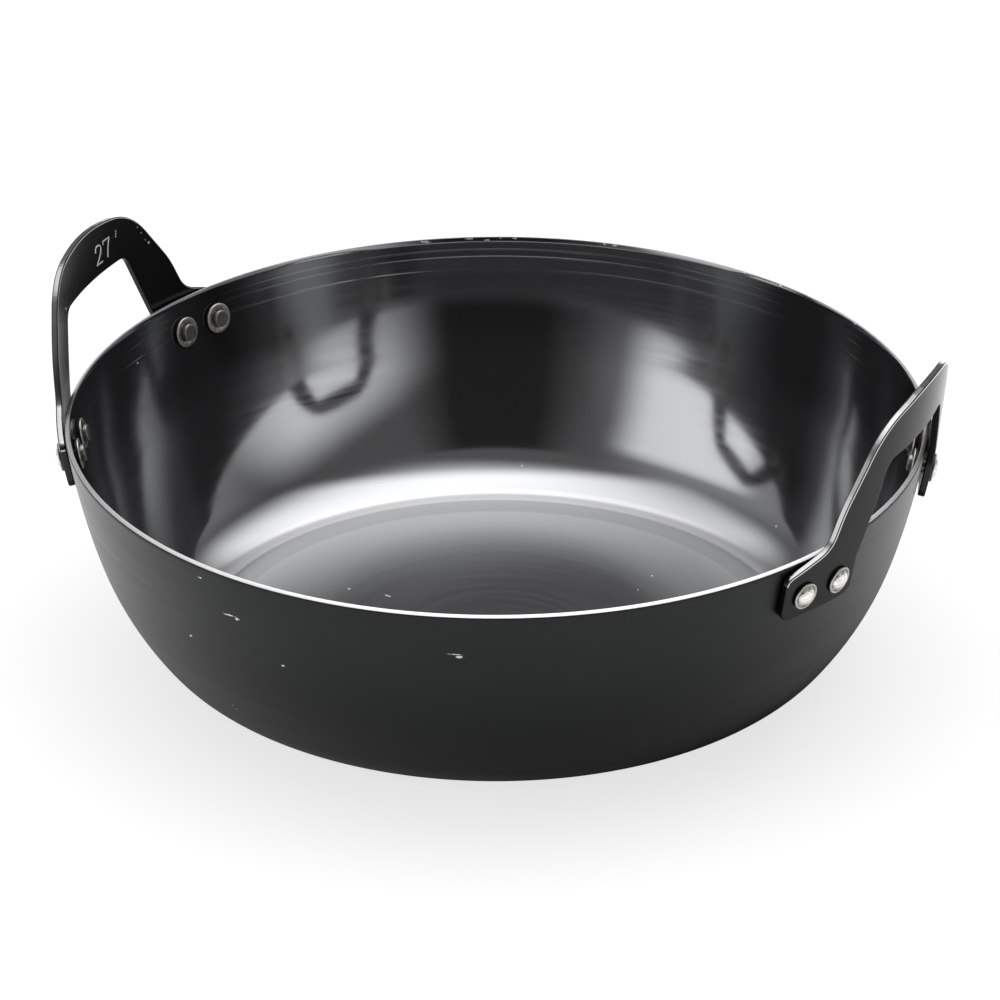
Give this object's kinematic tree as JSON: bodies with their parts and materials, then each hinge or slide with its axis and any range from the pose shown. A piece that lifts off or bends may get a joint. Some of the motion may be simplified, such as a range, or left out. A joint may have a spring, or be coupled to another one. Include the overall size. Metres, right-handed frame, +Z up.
{
  "type": "deep frying pot",
  "caption": "Round deep-frying pot of black sheet steel: flat base, rounded haunch, flared wall, plain ground lip, and upright loop handles riveted to the wall with washers inside",
  "frame": {"origin": "centre of the flat base, on the surface the pot stands on", "axes": "+Z up; +X through the middle of one handle, -X through the other; +Y to the side between the handles"},
  "size_m": [0.2888, 0.2728, 0.1173],
  "materials": {
    "bowl_steel": "spun carbon steel sheet under a thin glossy black-blue coat, lip ground bare",
    "handle_steel": "stamped steel plate, satin black, edges slightly brighter",
    "rivet_steel": "bright bare steel, formed by a rivet set",
    "washer_steel": "dull bare steel, browned by heat"
  },
  "bodies": {
    "root": {"pot_shell": "bowl_steel", "handle_right": "handle_steel", "handle_left": "handle_steel", "rivet_right_1": "rivet_steel", "rivet_right_2": "rivet_steel", "rivet_right_3": "rivet_steel", "rivet_right_4": "rivet_steel", "rivet_left_1": "rivet_steel", "rivet_left_2": "rivet_steel", "rivet_left_3": "rivet_steel", "rivet_left_4": "rivet_steel", "washer_right_1": "washer_steel", "washer_right_2": "washer_steel", "washer_right_3": "washer_steel", "washer_right_4": "washer_steel", "washer_left_1": "washer_steel", "washer_left_2": "washer_steel", "washer_left_3": "washer_steel", "washer_left_4": "washer_steel"}
  },
  "joints": []
}
